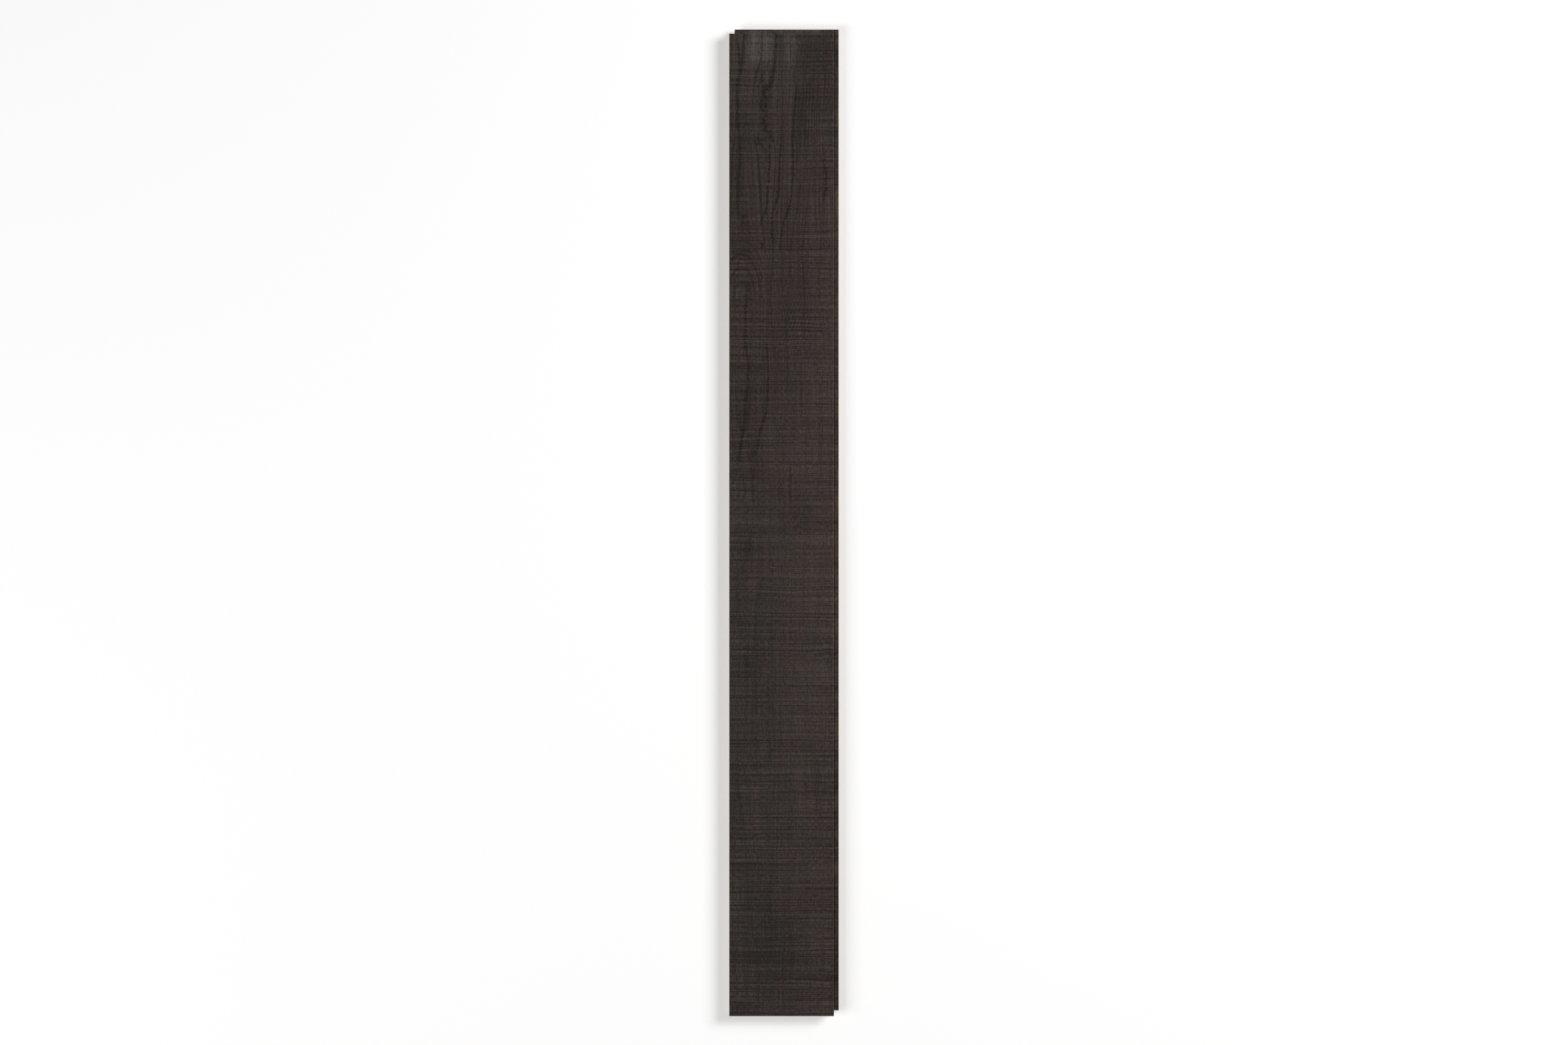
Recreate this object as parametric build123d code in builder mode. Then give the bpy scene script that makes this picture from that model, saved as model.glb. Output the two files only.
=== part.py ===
"""Solid hardwood floorboard: tongue and groove on its long edges and on its ends, a micro-bevelled
face, and relief kerfs ploughed along its back. Millimetres, +Z up.

The board lies face up, with Y along its length and X across its width. The origin is on the
underside, at the middle of the area that the laid board covers, so the next boards of a floor
lie one FACE_WIDTH away along X and one FACE_LENGTH away along Y.
"""

import os

from build123d import *

# Face: the part that shows in a laid floor
FACE_LENGTH = 1220.0
FACE_WIDTH = 130.0
THICKNESS = 19.0
FACE_BEVEL = 1.0

# Tongue, on the +X edge and on the +Y end
WEAR_DEPTH = 7.0
TONGUE_THICKNESS = 6.0
TONGUE_REACH = 6.0
TONGUE_NOSE_RADIUS = 1.5

# Channel along the root of the long tongue, where a hidden nail starts
NAIL_CHANNEL_RADIUS = 0.9

# Groove, on the -X edge and on the -Y end, a little larger than the tongue that it takes
GROOVE_SIDE_CLEARANCE = 0.15
GROOVE_END_CLEARANCE = 0.6
GROOVE_MOUTH_CHAMFER = 0.6

# Below the joint each edge stands back, so that two faces close before the backs meet
BACK_SETBACK = 0.8
BACK_CHAMFER = 0.8

# Relief kerfs along the back
KERF_COUNT = 6
KERF_PITCH = 18.0
KERF_WIDTH = 6.0
KERF_DEPTH = 2.5
KERF_CORNER_RADIUS = 1.2

# Heights and depths of the joint, from the sizes above
tongue_top = THICKNESS - WEAR_DEPTH
tongue_bottom = tongue_top - TONGUE_THICKNESS
tongue_middle = (tongue_top + tongue_bottom) / 2
groove_top = tongue_top + GROOVE_SIDE_CLEARANCE
groove_bottom = tongue_bottom - GROOVE_SIDE_CLEARANCE
groove_depth = TONGUE_REACH + GROOVE_END_CLEARANCE


def corners(section, *points):
    """The corner of the section nearest to each of the points."""
    return [section.vertices().sort_by_distance(point)[0] for point in points]


def joint_section(section, face_size):
    """Draws the section across one pair of edges: tongue at +x, groove at -x, height along y."""
    face_edge = face_size / 2
    back_edge = face_edge - BACK_SETBACK
    nose = face_edge + TONGUE_REACH

    Rectangle(face_size, THICKNESS, align=(Align.CENTER, Align.MIN))
    with Locations((-face_edge, 0), (face_edge, 0)):
        Rectangle(2 * BACK_SETBACK, 2 * tongue_middle, mode=Mode.SUBTRACT)
    with Locations((-face_edge, tongue_middle)):
        Rectangle(2 * groove_depth, groove_top - groove_bottom, mode=Mode.SUBTRACT)
    with Locations((back_edge, tongue_middle)):
        Rectangle(nose - back_edge, TONGUE_THICKNESS, align=(Align.MIN, Align.CENTER))

    fillet(corners(section, (nose, tongue_top), (nose, tongue_bottom)), TONGUE_NOSE_RADIUS)
    mouth = corners(section, (-face_edge, groove_top), (-back_edge, groove_bottom))
    chamfer(mouth, GROOVE_MOUTH_CHAMFER)
    chamfer(corners(section, (-back_edge, 0), (back_edge, 0)), BACK_CHAMFER)
    chamfer(corners(section, (-face_edge, THICKNESS), (face_edge, THICKNESS)), FACE_BEVEL)


with BuildPart() as floorboard:
    # Section across the width, run through the whole length
    with BuildSketch(Plane.XZ) as side_section:
        joint_section(side_section, FACE_WIDTH)
        with Locations((FACE_WIDTH / 2, tongue_top)):
            Circle(NAIL_CHANNEL_RADIUS, mode=Mode.SUBTRACT)
        with GridLocations(KERF_PITCH, 0, KERF_COUNT, 1):
            RectangleRounded(KERF_WIDTH, 2 * KERF_DEPTH, KERF_CORNER_RADIUS, mode=Mode.SUBTRACT)
    extrude(amount=FACE_LENGTH / 2 + TONGUE_REACH, both=True)

    # End matching: the same joint cut across both ends
    with BuildSketch(Plane.YZ) as end_section:
        joint_section(end_section, FACE_LENGTH)
    extrude(amount=FACE_WIDTH / 2 + TONGUE_REACH, both=True, mode=Mode.INTERSECT)

floorboard.part.label = "floorboard"

os.makedirs("parts", exist_ok=True)
export_step(floorboard.part, "parts/floorboard.step")
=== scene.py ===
"""Looks of the hardwood floorboard: a saw-marked, stained face, and bare wood in its joint and back.

Everything is in metres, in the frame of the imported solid: X across the board, Y along it, +Z up out of
its face. Places in the wood's shader nodes, and the lists that feed them, are in millimetres.
"""

import bmesh
import bpy
import numpy as np
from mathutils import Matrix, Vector


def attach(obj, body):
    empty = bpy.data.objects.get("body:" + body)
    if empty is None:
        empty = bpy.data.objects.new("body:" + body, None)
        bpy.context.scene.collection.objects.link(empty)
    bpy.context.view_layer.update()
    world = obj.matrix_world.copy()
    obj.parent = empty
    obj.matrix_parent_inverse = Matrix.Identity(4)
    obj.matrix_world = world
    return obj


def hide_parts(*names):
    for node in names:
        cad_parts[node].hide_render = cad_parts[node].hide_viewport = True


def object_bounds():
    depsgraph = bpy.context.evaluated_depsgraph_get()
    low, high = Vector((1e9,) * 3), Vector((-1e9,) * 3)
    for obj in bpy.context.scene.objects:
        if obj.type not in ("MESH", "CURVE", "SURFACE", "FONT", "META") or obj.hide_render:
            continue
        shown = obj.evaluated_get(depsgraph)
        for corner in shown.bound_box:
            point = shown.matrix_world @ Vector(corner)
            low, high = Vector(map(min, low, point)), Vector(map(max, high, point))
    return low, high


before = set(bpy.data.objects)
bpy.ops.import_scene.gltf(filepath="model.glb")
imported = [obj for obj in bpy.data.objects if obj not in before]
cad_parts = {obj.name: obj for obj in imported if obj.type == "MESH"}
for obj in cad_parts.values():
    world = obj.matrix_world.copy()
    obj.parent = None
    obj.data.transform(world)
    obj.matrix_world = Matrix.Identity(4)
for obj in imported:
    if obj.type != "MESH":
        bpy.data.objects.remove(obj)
cad_low, cad_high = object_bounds()

# Sizes of the solid, in metres
MM = 0.001
FACE_LENGTH = 1220 * MM
FACE_WIDTH = 130 * MM
THICKNESS = 19 * MM
FACE_BEVEL = 1 * MM
TONGUE_REACH = 6 * MM
WELD = 0.002 * MM

# Facets of the solid's roundings: their greatest width, and their greatest angle to a neighbour
ROUNDING_WIDTH = 0.8 * MM
ROUNDING_ANGLE = 0.5

# Saw marks across the face
MARK_DEPTH = 0.28 * MM
MARK_SHIFT = 0.5 * MM
MARK_STRENGTH_RANGE = (0.55, 1.2)
MARK_TONE_RANGE = (-0.35, 0.35)
RIDGE_DROP = 0.03 * MM
STRAIGHT_END = 20 * MM
COLUMN_COUNT = 52
ROWS_TO_A_BEVEL_FACE = 8
COLUMNS_TO_A_BEVEL_FACE = 4
SEED = 7

# Section of one mark: share of its gap along the board, and share of its depth
MARK_SHAPE = ((0.0, 0.0), (0.27, 0.6), (0.5, 1.0), (0.73, 0.6))

# One turn of the saw blade, which the marks repeat: gap of each mark in millimetres, depth and tone
SAW_TURN = ((4.2, 1.0, -0.1), (4.5, 0.4, 0.0), (4.8, 1.0, -0.1), (4.7, 0.05, 1.0), (4.0, 0.45, -0.3))

# How the marks change over the face: mean, swing, and steps along and across the board
FADING = (0.78, 0.25, 34 * MM, 46 * MM)
RAGGEDNESS = (0.80, 0.45, 5 * MM, 6 * MM)
BAND_TONE = (0.0, 0.25, 9 * MM, 40 * MM)
RIDGE_HEIGHT = (0.5, 0.5, 21 * MM, 60 * MM)
WANDER = (0.0, 0.7 * MM, 120 * MM, 45 * MM)

rng = np.random.default_rng(SEED)

# Rows of the face: four to each saw mark, from one end bevel to the other
row_end = FACE_LENGTH / 2 - FACE_BEVEL
mark_edges = [0.0]
mark_strength = []
mark_tone = []
while mark_edges[-1] < 2 * row_end:
    gap, strength, tone = SAW_TURN[len(mark_strength) % len(SAW_TURN)]
    mark_edges.append(mark_edges[-1] + gap * MM)
    mark_strength.append(strength * rng.uniform(*MARK_STRENGTH_RANGE))
    mark_tone.append(tone + rng.uniform(*MARK_TONE_RANGE))
mark_edges = np.array(mark_edges) / mark_edges[-1] * 2 * row_end - row_end
mark_edges[1:-1] += rng.uniform(-MARK_SHIFT, MARK_SHIFT, len(mark_edges) - 2)
mark_count = len(mark_strength)

row_places = []
row_depths = []
row_tones = []
for mark in range(mark_count):
    gap = mark_edges[mark + 1] - mark_edges[mark]
    for share, sunk in MARK_SHAPE:
        row_places.append(mark_edges[mark] + share * gap)
        row_depths.append(sunk * mark_strength[mark])
        row_tones.append(mark_tone[mark])
row_places = np.array(row_places + [row_end])
row_depths = np.array(row_depths + [0.0])
row_tones = np.array(row_tones + [mark_tone[-1]])

# Columns of the face, from one side bevel to the other
columns = np.linspace(-1, 1, COLUMN_COUNT + 1) * (FACE_WIDTH / 2 - FACE_BEVEL)


def eased(share):
    """Smooths a share from 0 to 1, so that it starts and ends gently."""
    return share * share * (3 - 2 * share)


def drift(mean, swing, along_step, across_step):
    """Smooth random values over the face, within a swing of their mean, that change from step to step."""
    along = (row_places - row_places.min()) / along_step
    across = (columns - columns.min()) / across_step
    knots = rng.uniform(-1, 1, (int(along.max()) + 2, int(across.max()) + 2))
    row = along.astype(int)
    row_share = eased(along - row)[:, None]
    lines = knots[row] * (1 - row_share) + knots[row + 1] * row_share
    column = across.astype(int)
    column_share = eased(across - column)[None, :]
    values = lines[:, column] * (1 - column_share) + lines[:, column + 1] * column_share
    return mean + swing * values


# Relief and tone of the marks over the whole face
fading = np.minimum(drift(*FADING), 1.0)
ragged = np.minimum(drift(*RAGGEDNESS), 1.0)
saw = np.clip(row_depths[:, None] * fading * ragged, 0.0, 1.0)
band = np.clip(row_tones[:, None] + drift(*BAND_TONE), -1.0, 1.0)
depth = MARK_DEPTH * saw + RIDGE_DROP * drift(*RIDGE_HEIGHT)
near_end = np.clip((row_end - np.abs(row_places)) / STRAIGHT_END, 0.0, 1.0)
wander = drift(*WANDER) * near_end[:, None]


def open_shell():
    """The solid's own mesh without its face and face bevels, and the four edges of the opening."""
    shell = bmesh.new()
    shell.from_mesh(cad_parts["floorboard"].data)
    bmesh.ops.remove_doubles(shell, verts=shell.verts, dist=WELD)
    bevel_foot = THICKNESS - FACE_BEVEL
    lid = [face for face in shell.faces if face.calc_center_median().z > bevel_foot + WELD]
    bmesh.ops.delete(shell, geom=lid, context="FACES")
    return shell, [edge for edge in shell.edges if edge.is_boundary]


def split_edge(edge, axis, places):
    """Splits an edge of the opening at places along an axis, and returns its vertices in order."""
    start, end = sorted(edge.verts, key=lambda vertex: vertex.co[axis])
    chain = [start]
    for place in places:
        share = (place - start.co[axis]) / (end.co[axis] - start.co[axis])
        start = bmesh.utils.edge_split(edge, start, share)[1]
        chain.append(start)
        edge = next(link for link in start.link_edges if link.other_vert(start) is end)
    return chain + [end]


def add_bevel(shell, foot, top, stops):
    """Closes a bevel with flat faces, each from one edge of its foot to a run of vertices of its top."""
    for number in range(len(foot) - 1):
        run = top[stops[number]:stops[number + 1] + 1]
        shell.faces.new([foot[number + 1], foot[number]] + run)


def is_rounded(face):
    """True for the narrow facets of a rounding, which are shaded smooth."""
    width = 2 * face.calc_area() / max(edge.calc_length() for edge in face.edges)
    gentle = [edge.calc_face_angle(0) < ROUNDING_ANGLE for edge in face.edges]
    return width < ROUNDING_WIDTH and any(gentle)


def sawn_board_mesh():
    """One closed mesh: the solid's joint and back, with a saw-marked face on top."""
    shell, opening = open_shell()
    for face in shell.faces:
        face.smooth = is_rounded(face)
    saw_layer = shell.verts.layers.float.new("saw_mark")
    band_layer = shell.verts.layers.float.new("saw_band")

    grid = []
    last_row = len(row_places) - 1
    for row, place in enumerate(row_places):
        line = []
        for column, across in enumerate(columns):
            sunk = depth[row, column]
            x = across + np.sign(across) * sunk * (column in (0, COLUMN_COUNT))
            y = place + wander[row, column] + np.sign(place) * sunk * (row in (0, last_row))
            vertex = shell.verts.new((x, y, THICKNESS - sunk))
            vertex[saw_layer] = saw[row, column]
            vertex[band_layer] = band[row, column]
            line.append(vertex)
        grid.append(line)
    for row in range(last_row):
        for column in range(COLUMN_COUNT):
            corners = [grid[row][column], grid[row][column + 1]]
            corners += [grid[row + 1][column + 1], grid[row + 1][column]]
            shell.faces.new(corners).smooth = True

    row_stops = list(range(0, last_row, ROWS_TO_A_BEVEL_FACE)) + [last_row]
    column_stops = list(range(0, COLUMN_COUNT + 1, COLUMNS_TO_A_BEVEL_FACE))
    for edge in opening:
        middle = (edge.verts[0].co + edge.verts[1].co) / 2
        if abs(middle.x) > abs(middle.y):
            side = [line[0 if middle.x < 0 else -1] for line in grid]
            stops, axis = row_stops, 1
        else:
            side = grid[0 if middle.y < 0 else -1]
            stops, axis = column_stops, 0
        foot = split_edge(edge, axis, [side[stop].co[axis] for stop in stops[1:-1]])
        add_bevel(shell, foot, side, stops)

    bmesh.ops.recalc_face_normals(shell, faces=shell.faces)
    upward_layer = shell.faces.layers.float.new("upward")
    for face in shell.faces:
        face[upward_layer] = max(0.0, face.normal.z)
    mesh = bpy.data.meshes.new("sawn_board")
    shell.to_mesh(mesh)
    shell.free()
    return mesh


# Streaks in a noise: how far from its middle they begin, and are at their full strength
STREAK_START = 0.03
STREAK_FULL = 0.18


class NodeKit:
    """Adds shader nodes to one tree, and gives back the sockets that they put out."""

    def __init__(self, tree):
        self.tree = tree

    def feed(self, socket, value):
        """Links a socket to another one, or sets it to a plain value."""
        if isinstance(value, bpy.types.NodeSocket):
            self.tree.links.new(value, socket)
        else:
            socket.default_value = value

    def add(self, kind, inputs=(), **settings):
        """One node, with its settings made and its inputs fed."""
        node = self.tree.nodes.new(kind)
        for name, value in settings.items():
            setattr(node, name, value)
        for key, value in dict(inputs).items():
            self.feed(node.inputs[key], value)
        return node

    def math(self, operation, *values):
        """One step of arithmetic on plain numbers."""
        return self.add("ShaderNodeMath", enumerate(values), operation=operation).outputs[0]

    def vector(self, operation, *values):
        """One step of arithmetic on vectors."""
        return self.add("ShaderNodeVectorMath", enumerate(values), operation=operation).outputs[0]

    def total(self, *terms):
        """The sum of several numbers."""
        result = terms[0]
        for term in terms[1:]:
            result = self.math("ADD", result, term)
        return result

    def product(self, *factors):
        """The product of several numbers."""
        result = factors[0]
        for factor in factors[1:]:
            result = self.math("MULTIPLY", result, factor)
        return result

    def largest(self, *values):
        """The largest of several numbers."""
        result = values[0]
        for value in values[1:]:
            result = self.math("MAXIMUM", result, value)
        return result

    def attribute(self, name):
        """A number that the mesh carries under this name."""
        return self.add("ShaderNodeAttribute", attribute_name=name).outputs["Fac"]

    def noise(self, place, sizes, detail=2.0, roughness=0.5, dimensions="3D"):
        """Soft noise from 0 to 1, with blots of about these sizes; in 2D it is the same at every Z."""
        scaled = self.vector("DIVIDE", place, sizes)
        inputs = {"Vector": scaled, "Scale": 1.0, "Detail": detail, "Roughness": roughness}
        return self.add("ShaderNodeTexNoise", inputs, noise_dimensions=dimensions).outputs[0]

    def swing(self, place, sizes, amount, detail=2.0, roughness=0.5, dimensions="3D"):
        """As noise, but around 0, and mostly within the amount each way."""
        value = self.noise(place, sizes, detail, roughness, dimensions)
        return self.math("MULTIPLY_ADD", value, 4 * amount, -2 * amount)

    def grains(self, place, sizes):
        """Distance from the middle of the nearest of many scattered grains, in shares of their sizes."""
        scaled = self.vector("DIVIDE", place, sizes)
        inputs = {"Vector": scaled, "Scale": 1.0}
        return self.add("ShaderNodeTexVoronoi", inputs, voronoi_dimensions="2D").outputs["Distance"]

    def streaks(self, place, sizes):
        """Sharper noise around 0: mostly nothing, with pale streaks up to 1 and dark ones down to -1."""
        value = self.noise(place, sizes, 1.0, dimensions="2D")
        pale = self.rise(value, 0.5 + STREAK_START, 0.5 + STREAK_FULL)
        dark = self.rise(value, 0.5 - STREAK_START, 0.5 - STREAK_FULL, 0.0, -1.0)
        return self.total(pale, dark)

    def rise(self, value, low, high, start=0.0, end=1.0):
        """Goes smoothly from start to end as the value goes from low to high."""
        inputs = {"Value": value, "From Min": low, "From Max": high, "To Min": start, "To Max": end}
        node = self.add("ShaderNodeMapRange", inputs, interpolation_type="SMOOTHSTEP")
        return node.outputs["Result"]

    def curve(self, share, points, low, high):
        """A smooth line through points of share and value, where the values run from low to high."""
        node = self.add("ShaderNodeFloatCurve", {"Value": share})
        line = node.mapping.curves[0]
        while len(line.points) < len(points):
            line.points.new(0.5, 0.5)
        for knot, (at, value) in zip(line.points, points):
            knot.location = (at, (value - low) / (high - low))
        node.mapping.update()
        return self.math("MULTIPLY_ADD", node.outputs[0], high - low, low)

    def mix(self, share, first, second):
        """A colour that goes from the first to the second as the share goes from 0 to 1."""
        node = self.add("ShaderNodeMix", data_type="RGBA")
        self.feed(node.inputs[0], share)
        self.feed(node.inputs[6], first)
        self.feed(node.inputs[7], second)
        return node.outputs[2]

    def scaled_colour(self, colour, tone):
        """A colour made lighter or darker by a tone."""
        node = self.add("ShaderNodeVectorMath", {0: colour, "Scale": tone}, operation="SCALE")
        return node.outputs[0]


# The board in the nodes' millimetres
HALF_WIDTH = FACE_WIDTH / 2 / MM
HALF_LENGTH = FACE_LENGTH / 2 / MM
BOARD_LENGTH = (FACE_LENGTH + TONGUE_REACH) / MM
FACE_HEIGHT = THICKNESS / MM

# Colours of the wood, linear
WARM_BROWN = (0.0394, 0.0259, 0.0222, 1)
COOL_BROWN = (0.0318, 0.0270, 0.0229, 1)
WORN_PALE = (0.0680, 0.0580, 0.0510, 1)
GRAIN_DARK = (0.0105, 0.0082, 0.0072, 1)
BARE_PALE = (0.600, 0.430, 0.262, 1)
BARE_DARK = (0.400, 0.245, 0.122, 1)

# Heart of the tree along the board: share of the length from the -Y end, and millimetres
HEART_ACROSS = ((0.0, -22), (0.2, -30), (0.45, -44), (0.72, -47), (0.85, -42), (1.0, -34))
HEART_BELOW = (
    (0.0, 44), (0.25, 37), (0.5, 29), (0.70, 22), (0.74, 24), (0.79, 36), (0.84, 38), (1.0, 42),
)
HEART_REACH = 60
RING_PITCH = 3.1

# Dark lines in the grain: half width, darkness, and places along the line as Y and X
GRAIN_LINES = (
    (1.7, 0.85, ((620, -6.5), (590, -8), (565, -10), (550, -13))),
    (1.8, 1.00, ((500, 0), (467, -1.5), (411, -4), (380, -12), (340, -9))),
    (1.7, 1.00, ((495, -13), (456, -15), (411, -16.5), (378, -26))),
    (1.9, 1.00, ((548, 19), (501, 15), (473, 13.4), (434, 13.4), (400, 10.6), (366, 0.6), (335, -3))),
    (2.2, 0.95, ((606, -57), (577, -52), (540, -55), (501, -54), (459, -51), (405, -55), (374, -48))),
    (1.7, 0.95, ((458, 49), (445, 53), (430, 55.5), (415, 54.5), (398, 50))),
    (2.2, 0.95, ((300, -42), (225, -45), (202, -42), (145, -45), (110, -49), (74, -55))),
    (1.8, 0.90, ((230, -20), (190, -17), (145, -19), (115, -27), (84, -31))),
    (1.4, 0.65, ((80, 11), (50, 10.3), (14, 11))),
    (1.5, 0.80, ((76, -34), (50, -35.5), (18, -35))),
    (1.4, 0.60, ((360, -10), (320, -11), (286, -14), (250, -12), (206, -8))),
    (1.4, 0.55, ((410, 33), (370, 29), (330, 26), (290, 28), (240, 22))),
    (1.4, 0.60, ((430, 24), (395, 20), (362, 13), (330, 11), (300, 13))),
)

# A group of fine lines beside each other, each a pitch across and a step up from the last one
FINE_LINES = 5
FINE_LINE_PITCH = 4.6
FINE_LINE_STEP = 6.9
FIRST_FINE_LINE = (1.1, 0.80, ((540, 23), (505, 20.5), (470, 19.5), (448, 18)))

# Ends of the dark lines: how far outside they begin, and how far inside they are at their darkest
LINE_END_OUTSIDE = 4
LINE_END_INSIDE = 14

# Dark flecks in the grain: centre X and Y, half width, half length, lean of X over Y, darkness
FLECKS = (
    (-10, 568, 3.4, 16, 0.2, 1.0),
    (-14, 551, 3.4, 17, 0.3, 1.0),
    (-24, 552, 2.2, 20, -0.1, 0.8),
    (-20, 536, 8.5, 15, 0.1, 1.0),
    (-22, 520, 8.0, 14, 0.0, 1.0),
    (-21, 500, 6.0, 16, 0.05, 1.0),
    (-29, 477, 8.0, 8, 0.0, 0.8),
    (-52, 466, 2.8, 10, 0.0, 0.9),
    (-53, 420, 5.2, 26, 0.0, 0.85),
    (-48, 380, 3.4, 8, 0.0, 1.0),
    (-24, 348, 4.4, 7, 0.0, 1.0),
    (-42, 288, 7.0, 20, 0.1, 0.75),
    (-24, 378, 3.4, 8, 0.2, 0.9),
    (-34, 89, 6.0, 5, 0.0, 1.0),
    (-52, 82, 3.4, 8, 0.1, 0.9),
    (-2, 42, 5.0, 13, 0.0, 0.6),
    (-41, -28, 6.0, 20, 0.1, 0.75),
    (-16, -288, 6.5, 16, 0.2, 0.6),
)

# Knot that the rings bend round: centre X and Y, half width and half length, and how far it pushes them
KNOT = (-22, 515, 16, 48)
KNOT_SWELL = 7.0

# Hatch of short slanting lines: centre X and Y, half width, half length, pitch, lean, darkness
HATCH = (20, 254, 24, 46, 4.4, 0.38, 0.95)

# Nested arches in the grain: middle X and foot Y, half width and length of the smallest, count, darkness
ARCHES = (-50, 285, 8, 17, 4, 0.7)

# Warmth of the stain along the board: share of the length from the -Y end, and shift of the hue
WARMTH = ((0.0, 0.0), (0.12, 0.02), (0.3, -0.02), (0.62, 0.13), (0.8, 0.16), (0.89, 0.0), (1.0, -0.04))
WARMTH_RANGE = (-0.1, 0.2)
WARMTH_ACROSS = 0.0012

# Strength of the figure along the board: share of the length from the -Y end, and strength
FIGURE = (
    (0, 0.1), (0.2, 0.3), (0.35, 0.35), (0.5, 0.2), (0.6, 0.55), (0.73, 0.52), (0.82, 1.0), (1, 0.9),
)

# Shift of the figure's noise, which makes it differ from the other noises
FIGURE_SHIFT = (0, 0, 57)

# Tone of the stain: its mean, and its least value
STAIN_TONE = 0.978
DARKEST_TONE = 0.48

# Broad patches of the stain: centre X and Y, half width, half length, change of tone
PATCHES = (
    (-15, 580, 60, 50, 0.08),
    (46, 540, 38, 95, -0.18),
    (58, 330, 34, 150, 0.03),
    (50, -70, 60, 320, 0.12),
    (-50, 300, 60, 230, -0.08),
    (-18, -420, 46, 200, -0.10),
    (-10, -550, 60, 110, -0.14),
    (-5, -272, 90, 9, -0.16),
    (5, -538, 90, 7, -0.14),
    (40, -190, 45, 40, 0.12),
    (0, -20, 90, 6, 0.12),
    (25, -425, 55, 110, 0.06),
    (-25, 430, 65, 110, 0.045),
    (-50, -5, 40, 90, 0.06),
)

# Pale, worn patches at the top end: centre X and Y, half width, half length, strength
PALE_PATCHES = ((-26, 594, 24, 30, 0.72), (11, 592, 12, 30, 0.55))

# Bevels made paler by wear and by a painted highlight: how far in from the face's edges it begins and is
# full, and how pale it is
PALE_BEVEL_START = 1.3
PALE_BEVEL_FULL = 0.9
WEAR_AND_HIGHLIGHT_TONE = 0.35

# Heights over which the stain comes in on the edges and on the tongues, and the relief of the face
EDGE_STAIN = (15.3, 17.3)
TONGUE_STAIN = (9.8, 11.4)
FACE_RELIEF = (15.5, 17.0)

# Mean tone of the bare wood, from pale to dark
BARE_TONE = 0.20

# Sheen, and the ripples that the planer left below the face
STAIN_ROUGHNESS = 0.42
BARE_ROUGHNESS = 0.74
SPECULAR_LEVEL = 0.25
PLANER_PITCH = 1.9


def ellipse_reach(kit, across, along, centre_x, centre_y, half_width, half_length):
    """How far a place is from a centre: 1 on the edge of an ellipse with these half sizes."""
    side = kit.math("DIVIDE", kit.math("SUBTRACT", across, centre_x), half_width)
    up = kit.math("DIVIDE", kit.math("SUBTRACT", along, centre_y), half_length)
    return kit.math("SQRT", kit.total(kit.product(side, side), kit.product(up, up)))


def grain_flecks(kit, across, along):
    """Darkness of all the flecks together."""
    darkness = 0.0
    for x, y, half_width, half_length, lean, strength in FLECKS:
        leaning = kit.math("MULTIPLY_ADD", along, -lean, across)
        reach = ellipse_reach(kit, leaning, along, x - lean * y, y, half_width, half_length)
        darkness = kit.largest(darkness, kit.rise(reach, 1.1, 0.3, 0.0, strength))
    return darkness


def grain_lines(kit, across, along, share, ragged):
    """Darkness of all the dark lines of the grain together, broken up by a ragged noise."""
    lines = list(GRAIN_LINES)
    half_width, strength, places = FIRST_FINE_LINE
    for number in range(FINE_LINES):
        up, aside = number * FINE_LINE_STEP, number * FINE_LINE_PITCH
        lines.append((half_width, strength, [(y + up, x + aside) for y, x in places]))
    darkness = 0.0
    for half_width, strength, places in lines:
        knots = [((y + HALF_LENGTH) / BOARD_LENGTH, x) for y, x in reversed(places)]
        middle = kit.curve(share, knots, -HALF_WIDTH, HALF_WIDTH)
        apart = kit.math("ABSOLUTE", kit.math("SUBTRACT", across, middle))
        reach = kit.total(kit.math("DIVIDE", apart, half_width), ragged)
        top, bottom = places[0][0], places[-1][0]
        line = kit.product(
            kit.rise(reach, 1.15, 0.25, 0.0, strength),
            kit.rise(along, bottom - LINE_END_OUTSIDE, bottom + LINE_END_INSIDE),
            kit.rise(along, top + LINE_END_OUTSIDE, top - LINE_END_INSIDE),
        )
        darkness = kit.largest(darkness, line)
    return darkness


def grain_hatch(kit, across, along):
    """Darkness of the patch of short slanting lines."""
    x, y, half_width, half_length, pitch, lean, darkness = HATCH
    leaning = kit.math("MULTIPLY_ADD", along, -lean, across)
    wave = kit.math("FRACT", kit.math("DIVIDE", leaning, pitch))
    from_gap = kit.math("ABSOLUTE", kit.math("SUBTRACT", wave, 0.5))
    reach = ellipse_reach(kit, across, along, x, y, half_width, half_length)
    return kit.product(kit.rise(from_gap, 0.20, 0.40), kit.rise(reach, 1.1, 0.4, 0.0, darkness))


def grain_arches(kit, across, along):
    """Darkness of the nested arches over the place where the heart comes nearest to the face."""
    x, y, half_width, half_length, count, darkness = ARCHES
    reach = ellipse_reach(kit, across, along, x, y, half_width, half_length)
    from_gap = kit.math("ABSOLUTE", kit.math("SUBTRACT", kit.math("FRACT", reach), 0.5))
    return kit.product(
        kit.rise(from_gap, 0.30, 0.46),
        kit.rise(reach, count + 0.6, count - 0.6, 0.0, darkness),
        kit.rise(reach, 0.4, 0.8),
        kit.rise(along, y - 20, y + 15),
    )


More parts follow.
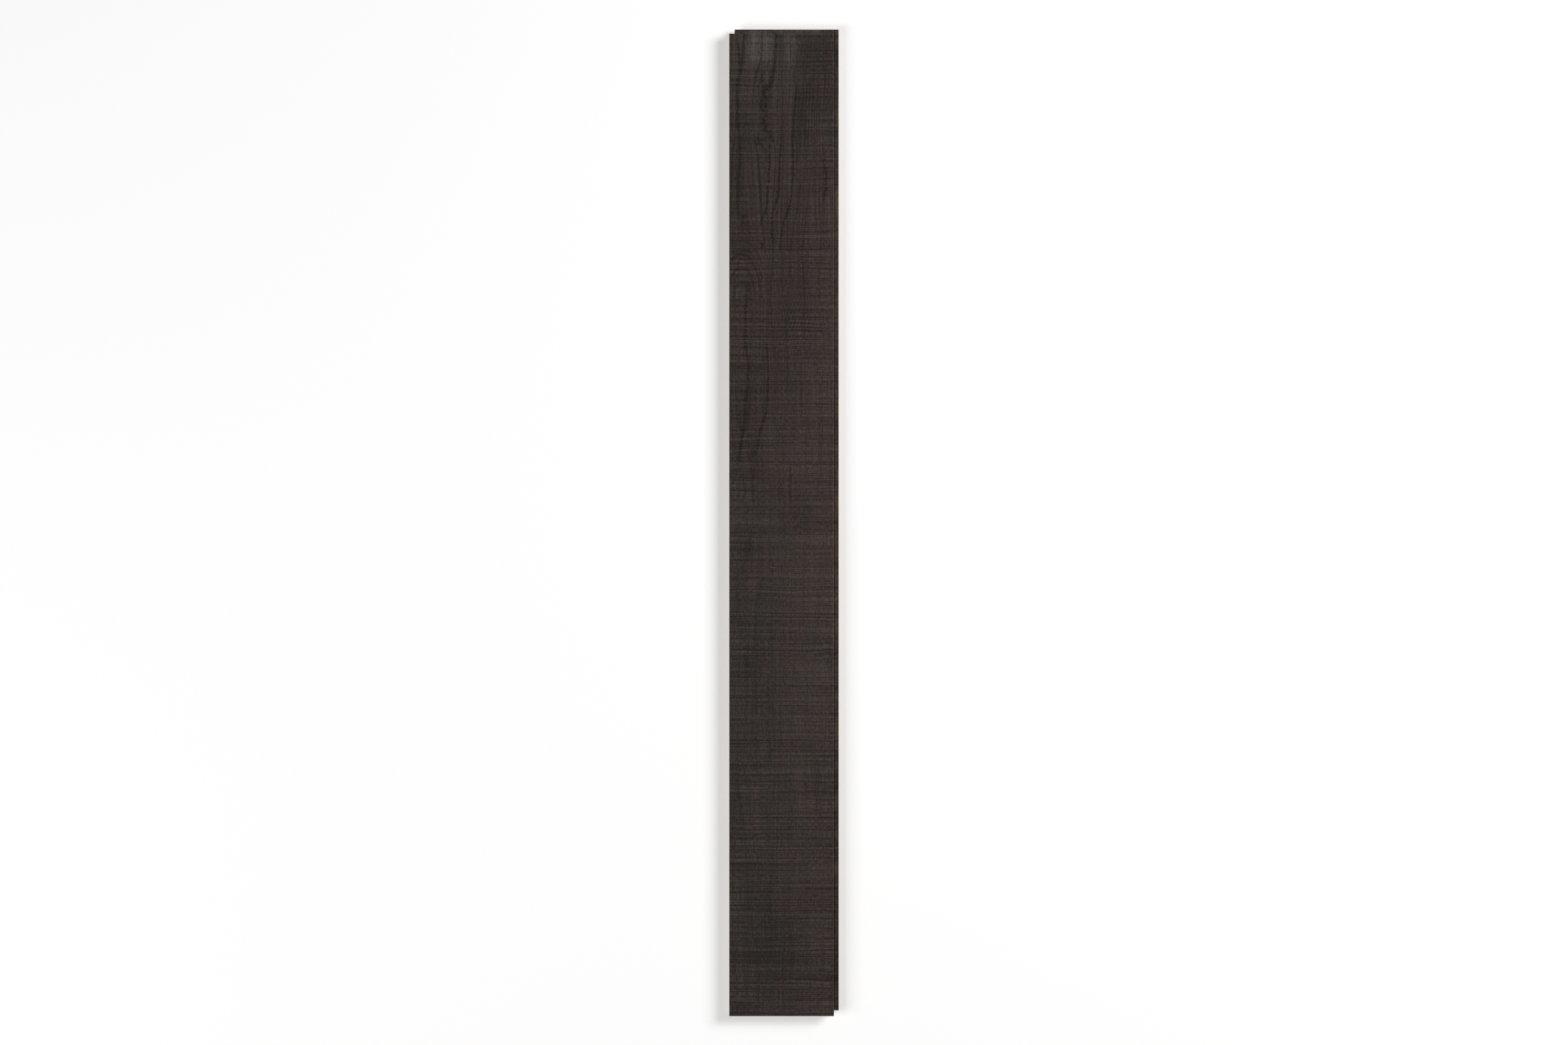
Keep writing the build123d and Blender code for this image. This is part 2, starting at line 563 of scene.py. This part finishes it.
def wood_material():
    """Hardwood through and through: bare where it is machined, stained dark on its face."""
    material = bpy.data.materials.new("sawn_stained_wood")
    material.use_nodes = True
    kit = NodeKit(material.node_tree)
    shader = material.node_tree.nodes["Principled BSDF"]

    metres = kit.add("ShaderNodeTexCoord").outputs["Object"]
    place = kit.vector("DIVIDE", metres, (MM, MM, MM))
    axes = kit.add("ShaderNodeSeparateXYZ", {0: place}).outputs
    x, y, z = axes[0], axes[1], axes[2]
    share = kit.math("MULTIPLY_ADD", y, 1 / BOARD_LENGTH, HALF_LENGTH / BOARD_LENGTH)

    # Growth rings round the heart, which bends along the board
    wide_bend = kit.swing(place, (34, 170, 34), 4.5, 1.0)
    small_bend = kit.swing(place, (9, 40, 9), 0.9, 2.0)
    bend = kit.total(wide_bend, small_bend)
    heart_x = kit.curve(share, HEART_ACROSS, -HEART_REACH, 0)
    heart_depth = kit.curve(share, HEART_BELOW, 0, HEART_REACH)
    knot_swell = kit.rise(ellipse_reach(kit, x, y, *KNOT), 1.5, 0.0, 0.0, KNOT_SWELL)
    from_heart_x = kit.total(kit.math("SUBTRACT", x, heart_x), bend)
    from_heart_z = kit.total(kit.math("SUBTRACT", z, FACE_HEIGHT), heart_depth)
    squared = kit.total(kit.product(from_heart_x, from_heart_x), kit.product(from_heart_z, from_heart_z))
    radius = kit.total(kit.math("SQRT", squared), knot_swell)
    rings = kit.math("DIVIDE", radius, RING_PITCH)
    ring = kit.math("FRACT", rings)
    ring_inputs = {"W": kit.math("FLOOR", rings)}
    ring_strength = kit.add("ShaderNodeTexWhiteNoise", ring_inputs, noise_dimensions="1D").outputs[0]
    ring_edge = kit.product(kit.rise(ring, 0.62, 0.92), kit.rise(ring, 1.0, 0.95))
    ring_line = kit.product(ring_edge, kit.rise(ring_strength, 0.2, 0.9, 0.15, 1.0))

    # Light and dark at many sizes: lines that the saw left across, fibre along, and mottle
    saw_mark = kit.attribute("saw_mark")
    saw_band = kit.attribute("saw_band")
    saw_valley = kit.rise(saw_mark, 0.12, 0.8)
    saw_ridge = kit.rise(saw_mark, 0.15, 0.0)
    saw_sway = kit.swing(place, (70, 45, 70), 1.3, 1.0)
    saw_place = kit.add("ShaderNodeCombineXYZ", {0: x, 1: kit.total(y, saw_sway), 2: z}).outputs[0]
    fine_saw = kit.total(kit.streaks(saw_place, (320, 2.4, 320)), kit.streaks(saw_place, (200, 1.7, 200)))
    saw_lines = kit.product(fine_saw, 0.50)
    scratches = kit.streaks(saw_place, (60, 0.7, 60))
    grain_x = kit.total(x, bend)
    grain_place = kit.add("ShaderNodeCombineXYZ", {0: grain_x, 1: y, 2: z}).outputs[0]
    fine_fibre = kit.swing(grain_place, (2.0, 75, 2.0), 1.0, 1.0)
    fibre = kit.total(
        kit.product(fine_fibre, 0.55),
        kit.swing(grain_place, (4.6, 190, 4.6), 0.36, 1.0),
        kit.swing(grain_place, (12, 420, 12), 0.42, 1.0),
    )
    hair = kit.swing(grain_place, (0.42, 26, 0.42), 1.0, 1.0)
    mottle = kit.total(
        kit.swing(grain_place, (2.4, 4.2, 2.4), 0.85, 2.0, 0.7, "2D"),
        kit.product(fine_fibre, fine_saw, 0.5),
    )
    pores = kit.rise(kit.noise(grain_place, (0.5, 9, 0.5), 1.0), 0.60, 0.70)

    # Stain: its hue drifts in patches, and it gathers in grain and saw marks
    hue = kit.noise(place, (26, 44, 26), 3.0, 0.65)
    warmth = kit.curve(share, WARMTH, *WARMTH_RANGE)
    hue = kit.total(kit.math("MULTIPLY_ADD", x, WARMTH_ACROSS, hue), warmth)
    stain = kit.mix(kit.rise(hue, 0.26, 0.74, 0.08, 0.92), COOL_BROWN, WARM_BROWN)
    ragged = kit.swing(place, (9, 22, 9), 0.25)
    for centre_x, centre_y, half_width, half_length, strength in PALE_PATCHES:
        reach = kit.total(ellipse_reach(kit, x, y, centre_x, centre_y, half_width, half_length), ragged)
        stain = kit.mix(kit.rise(reach, 1.1, 0.3, 0.0, strength), stain, WORN_PALE)
    figure_noise = kit.noise(kit.vector("ADD", place, FIGURE_SHIFT), (45, 120, 45), 1.0)
    figure = kit.product(kit.curve(share, FIGURE, 0, 1), kit.rise(figure_noise, 0.25, 0.65, 0.3, 1.0))
    dashes = kit.rise(saw_lines, 0.9, -0.7, 0.6, 1.2)

    # What lightens or darkens the stain: how much in plain wood, and how much more in strong figure
    tone_changes = (
        (saw_valley, -0.345, 0.17),
        (saw_ridge, 0.03, 0.0),
        (saw_band, 0.13, -0.035),
        (saw_lines, 0.44, -0.27),
        (scratches, 0.135, -0.05),
        (fibre, 0.17, 0.20),
        (hair, 0.10, 0.0),
        (mottle, 0.52, -0.14),
        (pores, -0.22, 0.0),
        (kit.product(ring_line, dashes), 0.0, -0.90),
    )
    tone = kit.total(STAIN_TONE, kit.swing(place, (50, 90, 50), 0.15, 2.0))
    for value, plain, figured in tone_changes:
        tone = kit.total(tone, kit.product(value, kit.math("MULTIPLY_ADD", figure, figured, plain)))
    for centre_x, centre_y, half_width, half_length, change in PATCHES:
        reach = kit.total(ellipse_reach(kit, x, y, centre_x, centre_y, half_width, half_length), ragged)
        tone = kit.total(tone, kit.rise(reach, 1.25, 0.2, 0.0, change))
    stain = kit.scaled_colour(stain, kit.math("MAXIMUM", tone, DARKEST_TONE))

    # Dark figure: flecks and the knot's grains, lines, hatch and arches
    bent_x = kit.total(x, small_bend)
    grains = kit.rise(kit.grains(grain_place, (2.9, 4.0, 2.9)), 0.52, 0.30, 0.20, 1.0)
    broken = kit.total(
        kit.swing(grain_place, (1.6, 5.5, 1.6), 0.55, 2.0, 0.6, "2D"),
        kit.swing(place, (9, 26, 9), 0.35, 1.0),
        kit.product(saw_lines, 0.55),
    )
    dark_grain = kit.largest(
        kit.product(grain_flecks(kit, bent_x, y), grains),
        kit.product(grain_lines(kit, bent_x, y, share, broken), kit.rise(saw_lines, 0.7, -0.5, 0.6, 1.0)),
        kit.product(grain_hatch(kit, bent_x, y), kit.rise(saw_lines, 0.25, -0.25)),
        kit.product(grain_arches(kit, bent_x, y), kit.rise(saw_lines, 0.5, -0.4, 0.5, 1.0)),
    )
    stain = kit.mix(dark_grain, stain, GRAIN_DARK)

    # Arrises: the bevels are a little worn, and are made paler still by a painted highlight
    pale_bevel_x = kit.rise(kit.math("ABSOLUTE", x), HALF_WIDTH - PALE_BEVEL_START, HALF_WIDTH - PALE_BEVEL_FULL)
    pale_bevel_y = kit.rise(kit.math("ABSOLUTE", y), HALF_LENGTH - PALE_BEVEL_START, HALF_LENGTH - PALE_BEVEL_FULL)
    wear_and_highlight_patches = kit.rise(kit.noise(place, (6, 14, 6), 2.0), 0.3, 0.65)
    edge = kit.product(kit.largest(pale_bevel_x, pale_bevel_y), wear_and_highlight_patches)
    stain = kit.scaled_colour(stain, kit.math("MULTIPLY_ADD", edge, WEAR_AND_HIGHLIGHT_TONE, 1.0))

    # Bare wood of the joint and the back
    bare_tone = kit.total(
        BARE_TONE,
        kit.product(ring_line, 0.62),
        kit.swing(place, (22, 170, 22), 0.22),
        kit.product(fibre, 0.42),
        kit.product(hair, 0.10),
        kit.product(pores, 0.30),
    )
    bare = kit.mix(kit.rise(bare_tone, 0.0, 1.0), BARE_PALE, BARE_DARK)

    # Where the stain reaches: the face and its bevels, a ragged way down the edges, and the tongues' tops
    stain_line = kit.total(z, kit.swing(place, (26, 26, 26), 0.5), kit.swing(place, (1.8, 1.8, 12), 0.22))
    down_the_edge = kit.rise(stain_line, *EDGE_STAIN)
    upward = kit.attribute("upward")
    on_the_tongue = kit.product(
        kit.rise(upward, 0.0, 0.25),
        kit.rise(z, *TONGUE_STAIN),
        kit.rise(kit.noise(place, (16, 22, 16), 3.0), 0.25, 0.55, 0.93, 1.0),
    )
    stained = kit.largest(down_the_edge, on_the_tongue)
    kit.feed(shader.inputs["Base Color"], kit.mix(stained, bare, stain))

    # Sheen, and fine relief with its heights in millimetres
    stain_rough = kit.total(
        STAIN_ROUGHNESS,
        kit.product(saw_mark, 0.10),
        kit.product(saw_lines, 0.10),
        kit.product(edge, 0.08),
    )
    bare_rough = kit.total(BARE_ROUGHNESS, kit.product(fibre, 0.12))
    bare_share = kit.math("SUBTRACT", 1.0, stained)
    rough = kit.total(kit.product(stained, stain_rough), kit.product(bare_share, bare_rough))
    kit.feed(shader.inputs["Roughness"], rough)
    kit.feed(shader.inputs["Specular IOR Level"], SPECULAR_LEVEL)
    planed = kit.math("SINE", kit.math("MULTIPLY", y, 2 * np.pi / PLANER_PITCH))
    on_the_face = kit.rise(z, *FACE_RELIEF)
    height = kit.total(
        kit.product(fibre, 0.04),
        kit.product(ring_line, -0.03),
        kit.product(kit.total(kit.product(saw_lines, 0.05), kit.product(scratches, 0.03)), on_the_face),
        kit.product(planed, kit.math("SUBTRACT", 1.0, on_the_face), 0.004),
    )
    bump = kit.add("ShaderNodeBump", {"Height": height, "Strength": 1.0, "Distance": MM})
    kit.feed(shader.inputs["Normal"], bump.outputs[0])
    return material


board = bpy.data.objects.new("sawn_board", sawn_board_mesh())
bpy.context.scene.collection.objects.link(board)
board.data.materials.append(wood_material())
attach(board, "root")
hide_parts("floorboard")


# Floor: pale, with a glow for the camera and for reflections that tops it up to white in full light
FLOOR_HALF = 12.0
FLOOR_GAP = 0.3 * MM
FLOOR_COLOUR = (0.80, 0.80, 0.80, 1)
FLOOR_ROUGHNESS = 0.9
FLOOR_GLOW = 0.27
WHITE = (1, 1, 1, 1)
floor_mesh = bpy.data.meshes.new("floor")
floor_corners = [(-1, -1), (1, -1), (1, 1), (-1, 1)]
floor_places = [(u * FLOOR_HALF, v * FLOOR_HALF, -FLOOR_GAP) for u, v in floor_corners]
floor_mesh.from_pydata(floor_places, [], [(0, 1, 2, 3)])
floor = bpy.data.objects.new("floor", floor_mesh)
bpy.context.scene.collection.objects.link(floor)
floor_material = bpy.data.materials.new("pale_floor")
floor_material.use_nodes = True
floor_material.cycles.emission_sampling = "NONE"
floor_kit = NodeKit(floor_material.node_tree)
floor_shader = floor_material.node_tree.nodes["Principled BSDF"]
floor_kit.feed(floor_shader.inputs["Base Color"], FLOOR_COLOUR)
floor_kit.feed(floor_shader.inputs["Roughness"], FLOOR_ROUGHNESS)
floor_kit.feed(floor_shader.inputs["Specular IOR Level"], 0.0)
rays = floor_kit.add("ShaderNodeLightPath").outputs
seen = floor_kit.largest(rays["Is Camera Ray"], rays["Is Glossy Ray"], rays["Is Transmission Ray"])
floor_kit.feed(floor_shader.inputs["Emission Color"], WHITE)
floor_kit.feed(floor_shader.inputs["Emission Strength"], floor_kit.product(seen, FLOOR_GLOW))
floor.data.materials.append(floor_material)


def add_lamp(name, place, size, power):
    """A soft square lamp that faces the board."""
    light = bpy.data.lights.new(name, "AREA")
    light.size = size
    light.energy = power
    lamp = bpy.data.objects.new(name, light)
    lamp.location = place
    lamp.rotation_euler = (-Vector(place)).to_track_quat("-Z", "Y").to_euler()
    bpy.context.scene.collection.objects.link(lamp)


add_lamp("key_lamp", place=(3.2, 1.4, 2.9), size=2.0, power=162)
add_lamp("fill_lamp", place=(-3.2, -1.4, 2.9), size=2.4, power=104)

# World: a faint even light
WORLD_STRENGTH = 0.15
world = bpy.data.worlds.new("studio")
bpy.context.scene.world = world
world.use_nodes = True
background = world.node_tree.nodes["Background"]
background.inputs["Color"].default_value = WHITE
background.inputs["Strength"].default_value = WORLD_STRENGTH

# Camera: straight above, with the board upright in the picture
IMAGE_WIDTH = 2352
IMAGE_HEIGHT = 1568
FILL = 0.945
camera_data = bpy.data.cameras.new("camera")
camera_data.lens = 100
camera_data.sensor_width = 36
picture_height = (cad_high.y - cad_low.y) / FILL
sensor_height = camera_data.sensor_width * IMAGE_HEIGHT / IMAGE_WIDTH
centre = (cad_low + cad_high) / 2
camera = bpy.data.objects.new("camera", camera_data)
camera.location = (centre.x, centre.y, cad_high.z + picture_height * camera_data.lens / sensor_height)
bpy.context.scene.collection.objects.link(camera)
bpy.context.scene.camera = camera
bpy.context.scene.view_settings.view_transform = "Standard"
